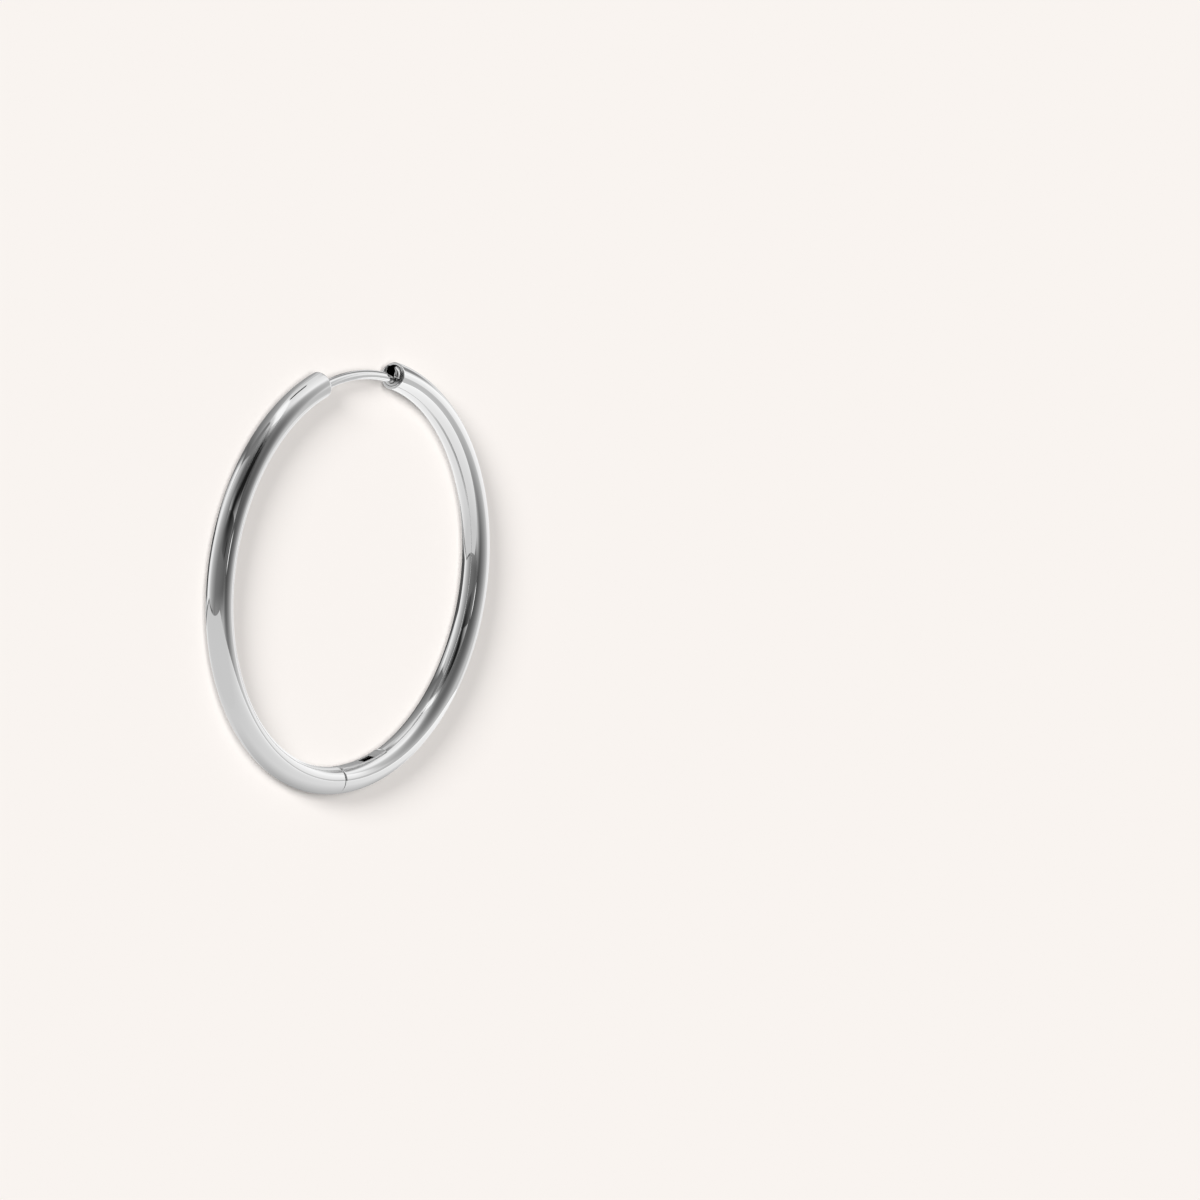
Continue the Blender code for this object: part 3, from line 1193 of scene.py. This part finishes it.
@dataclass
class LightTent:
    """The cards, world and lights round the earring.

    Attributes:
        hoop: The hoop.
        metal: Share of light that the polished steel reflects.
        backdrop: Colour of the room that the eye sees past the floor.
        ambient: Strength of the even light on the floor.
        tent: Display level of the tent between the cards.
        key: The low light that casts the shadow.
        overhead: The broad light from above.
        floor_colour: Colour of the floor.
        floor_half_size: Half the floor's width.
    """

    hoop: Hoop
    metal: float = 0.93
    backdrop: Colour = (srgb(248), srgb(243), srgb(239))
    ambient: float = 0.18
    tent: float = 208.0
    key: Sun = Sun("key_sun", (-67.5, 19.5), 16.0, 2.98)
    overhead: Sun = Sun("overhead_sun", (-67.5, 62.0), 36.0, 1.78)
    floor_colour: Colour = (0.95, 0.907, 0.874)
    floor_half_size: float = 6.0

    def cards(self) -> list[Card]:
        """The tent's cards, from the farthest to the nearest.

        Returns:
            The cards, each placed from the hoop's centre.
        """
        def far(name: str, azimuth: float, elevation: float, distance: float, width: float, height: float,
                lean: float, low: float, high: float, soft_x: float, soft_y: float) -> Card:
            """A card that faces the hoop, with its sizes in millimetres."""
            return Card(name, toward(azimuth, elevation) * distance * MM, (width * MM, height * MM),
                        low, high, (soft_x, soft_y), lean)

        def level(name: str, place: Colour, width: float, height: float, lean: float, low: float,
                  high: float, soft: Place, facing: Colour) -> Card:
            """A card that faces a fixed way, with its place and sizes in millimetres."""
            return Card(name, Vector(place) * MM, (width * MM, height * MM), low, high, soft, lean,
                        Vector(facing))

        return [
            far("behind", 96.1, -6.0, 130, 420, 100, -65, 253, 218, .34, .29),
            far("ceiling", -18.3, 72.8, 100, 372, 204, -120, 15, 120, 1, .67),
            far("side", -81.8, -9.0, 120, 478, 344, -14, 181, 21, .04, 1),
            level("leaf", (-90, 75, -76.5), 230, 147, 0, 230, 118, (.02, .001), (1, 0, 0)),
            level("leaf_low", (-56, 75, -150), 72, 230, 0, 232, 232, (.05, .02), (0, 0, 1)),
            level("pillar", (-56, 145, -122), 70, 250, 10, 95, 120, (.1, .2), (29, -96, 0)),
            level("under", (35, -1, -90), 114, 32, 0, 80, 80, (.02, .25), (0, 0, 1)),
            level("under_far", (116, 5, -90), 48, 18, 0, 80, 80, (.02, .25), (0, 0, 1)),
            level("under_near", (116, -22, -90), 48, 19, 0, 80, 80, (.02, .25), (0, 0, 1)),
            level("blaze", (-17.5, 81, 16), 24, 96, 12, 255, 235, (.6, .7), (17.5, -81, 0)),
            far("glow", -71.1, 25.5, 90, 122, 205, -30, 241, 250, .62, .93),
            far("core_veil", -82.3, 24.5, 86, 115, 185, -6, 126, 73, .63, .54),
            far("lobe", -48.8, 26.3, 75, 115, 117, -50, 27, 25, .96, .72),
            far("core", -38.9, 36.1, 70, 34, 12, -4, 25, 25, .5, .5),
            far("core_left", -61.0, 19.1, 72, 12.4, 22, 0, 31, 30, .5, .5),
            far("core_high", -77.6, 36.0, 80, 13.8, 10, 0, 41, 42, .6, .6),
            far("core_low", -38.9, 22.9, 60, 25.6, 8.4, -7, 26, 27, .5, .5),
            far("frame", 29.6, -25.8, 118, 447, 267, -17, 28, 239, .69, .29),
            far("box", 33.8, -11.7, 110, 353, 285, -21, 178, 253, .66, .47),
            far("blob", -76.7, 69.5, 90, 23.5, 11.1, -1, 246, 248, .61, .61),
            far("shade", 45.5, -3.5, 100, 111, 67, 16, 125, 115, .45, .91),
            far("dark_arc", 55.9, -36.2, 100, 68, 10.9, -22, 41, 45, .41, .4),
            level("dash", (0.5, 75.4, -4.7), 16, 9, 15, 22, 22, (.2, .3), (1, -75, 4)),
            far("grey", 23.0, -26.4, 90, 61, 24, 0, 190, 190, .6, .6),
            level("table", (-9.1, -20.6, -20.1), 132.6, 123.4, 90, 197, 203, (.02, .02), (0, 1, 0)),
            level("table_bright", (16, -20.55, -20.1), 132.6, 73, 90, 201, 250, (.02, .001), (0, 1, 0)),
            # Painted shadow: a darker soft patch on the table card, in place of the hoop's contact shadow on
            # the table as seen in reflections
            level("table_contact_shadow", (2.2, -20.5, -2.7), 44.6, 12.2, 0, 161, 161, (.82, .81), (0, 1, 0)),
            level("table_side", (-70.8, -20, -53.2), 2.4, 66.3, 0, 87, 87, (.3, .1), (70.8, 20, 0)),
            level("table_end", (-9.1, -20, -86.4), 123.4, 3.6, 0, 87, 87, (.1, .3), (0, 20, 86.4)),
        ]

    def card_group(self) -> bpy.types.NodeTree:
        """Node group of a card's soft border.

        Returns:
            The group, with the outputs Cover and Rise.
        """
        tree = new_group("card_border", {"Feather X": 0.1, "Feather Y": 0.1}, ("Cover", "Rise"))
        graph = Graph(tree)
        given, out = graph.node("NodeGroupInput"), graph.node("NodeGroupOutput")
        split = graph.node("ShaderNodeSeparateXYZ")
        graph.join(graph.node("ShaderNodeTexCoord").outputs["Object"], split.inputs[0])
        covers = []
        for axis, key in (("X", "Feather X"), ("Y", "Feather Y")):
            margin = graph.math("SUBTRACT", 1.0, graph.math("ABSOLUTE", split.outputs[axis]))
            covers.append(graph.ramp(margin, 0.0, given.outputs[key]))
        graph.join(graph.math("MULTIPLY", covers[0], covers[1]), out.inputs["Cover"])
        rise = graph.node("ShaderNodeMapRange")
        for key, value in (("Value", split.outputs["Y"]), ("From Min", -1.0), ("From Max", 1.0)):
            graph.feed(rise.inputs[key], value)
        graph.join(rise.outputs["Result"], out.inputs["Rise"])
        return tree

    def build_card(self, card: Card, border: bpy.types.NodeTree) -> None:
        """Makes one card.

        Args:
            card: The card.
            border: The card border group.
        """
        item, graph, out = studio_plane(card.name, card.name, 1.0)
        item.matrix_world = card.matrix(self.hoop.centre)
        group = graph.node("ShaderNodeGroup", node_tree=border)
        for key, share in zip(("Feather X", "Feather Y"), card.feather):
            group.inputs[key].default_value = max(share, LEAST_FEATHER)
        level = graph.node("ShaderNodeMapRange")
        for key, value in (("Value", group.outputs["Rise"]), ("To Min", srgb(card.low) / self.metal),
                           ("To Max", srgb(card.high) / self.metal)):
            graph.feed(level.inputs[key], value)
        glow = graph.node("ShaderNodeEmission")
        graph.join(level.outputs["Result"], glow.inputs["Strength"])
        mix = graph.node("ShaderNodeMixShader")
        graph.join(group.outputs["Cover"], mix.inputs[0])
        graph.join(graph.node("ShaderNodeBsdfTransparent").outputs[0], mix.inputs[1])
        graph.join(glow.outputs[0], mix.inputs[2])
        graph.join(mix.outputs[0], out.inputs["Surface"])
        item.active_material.cycles.emission_sampling = "NONE"
        for name in ("camera", "diffuse", "transmission", "volume_scatter", "shadow"):
            setattr(item, f"visible_{name}", False)

    def build_world(self) -> None:
        """Makes the world: pale for the eye and the floor, a light tent for reflections."""
        world = bpy.data.worlds.new("soft_room")
        bpy.context.scene.world = world
        world.use_nodes = True
        graph = Graph(world.node_tree)
        out = graph.node("ShaderNodeOutputWorld")
        seen = graph.node("ShaderNodeBackground")
        seen.inputs["Color"].default_value = (*self.backdrop, 1)
        soft = graph.node("ShaderNodeBackground")
        soft.inputs["Color"].default_value = (1, 1, 1, 1)
        soft.inputs["Strength"].default_value = self.ambient
        tent = graph.node("ShaderNodeBackground")
        tent.inputs["Strength"].default_value = srgb(self.tent) / self.metal
        path = graph.node("ShaderNodeLightPath")
        first = graph.node("ShaderNodeMixShader")
        graph.join(path.outputs["Is Glossy Ray"], first.inputs[0])
        graph.join(soft.outputs[0], first.inputs[1])
        graph.join(tent.outputs[0], first.inputs[2])
        second = graph.node("ShaderNodeMixShader")
        graph.join(path.outputs["Is Camera Ray"], second.inputs[0])
        graph.join(first.outputs[0], second.inputs[1])
        graph.join(seen.outputs[0], second.inputs[2])
        graph.join(second.outputs[0], out.inputs["Surface"])

    def build_floor(self) -> None:
        """Makes the plain pale floor."""
        item, graph, out = studio_plane("floor", "pale_floor", self.floor_half_size)
        matt = graph.node("ShaderNodeBsdfDiffuse")
        matt.inputs["Color"].default_value = (*self.floor_colour, 1)
        graph.join(matt.outputs[0], out.inputs["Surface"])
        item.visible_glossy = False

    def build(self) -> None:
        """Makes the whole studio."""
        self.build_world()
        for sun in (self.key, self.overhead):
            sun.build()
        self.build_floor()
        border = self.card_group()
        for card in self.cards():
            self.build_card(card, border)
        bpy.context.scene.view_settings.view_transform = "Standard"


@dataclass
class StudioCamera:
    """The camera at its three-quarter view from above.

    Attributes:
        hoop: The hoop.
        turn: Turn of the view about the hoop's axis, in degrees.
        elevation: Height above the floor, in degrees.
        lean: Roll of the picture, in degrees.
        distance: Distance from the hoop.
        lens: Focal length in millimetres.
        aside: Where the hoop stands from the picture's middle, left and up.
    """

    hoop: Hoop
    turn: float = 8.4
    elevation: float = 37.6
    lean: float = 8.73
    distance: float = 2.728
    lens: float = 900.0
    aside: Place = (-22.875 * MM, 2.180 * MM)

    def build(self) -> None:
        """Makes the camera and sets it as the scene's."""
        turn, rise, lean = (math.radians(a) for a in (self.turn, self.elevation, self.lean))
        long_side = Vector((math.sin(turn), math.cos(turn), 0))
        front = Vector((-math.cos(turn), math.sin(turn), 0))
        back = (front * math.cos(rise) + Vector((0, 0, math.sin(rise)))).normalized()
        level = long_side.cross(back)
        level = level if level.z > 0 else -level
        right = long_side * math.sin(lean) + level * math.cos(lean)
        up = long_side * math.cos(lean) - level * math.sin(lean)
        basis = Matrix((right, up, back)).transposed()
        seen = Vector((*self.aside, -self.distance)).normalized()
        basis = basis @ seen.rotation_difference(Vector((0, 0, -1))).to_matrix()
        data = bpy.data.cameras.new("camera")
        data.lens = self.lens
        data.sensor_width = 36.0
        data.clip_start, data.clip_end = 0.1, 50.0
        item = bpy.data.objects.new("camera", data)
        bpy.context.scene.collection.objects.link(item)
        item.matrix_world = Matrix.Translation(self.hoop.centre + back * self.distance) @ basis.to_4x4()
        bpy.context.scene.camera = item


def main() -> None:
    """Builds the earring and its studio."""
    logging.basicConfig(level=logging.INFO, format="%(name)s: %(message)s")
    hoop = Hoop.from_record(frame["record"], frame["joints"])
    finishes = Finishes(hoop)
    StudioCamera(hoop).build()
    FrontTube(hoop, finishes).build()
    BackTube(hoop, finishes).build()
    EarPost(hoop, finishes).build()
    Catch(hoop, finishes).build()
    Hinge(hoop, finishes).build()
    LightTent(hoop).build()


if __name__ == "__main__":
    main()
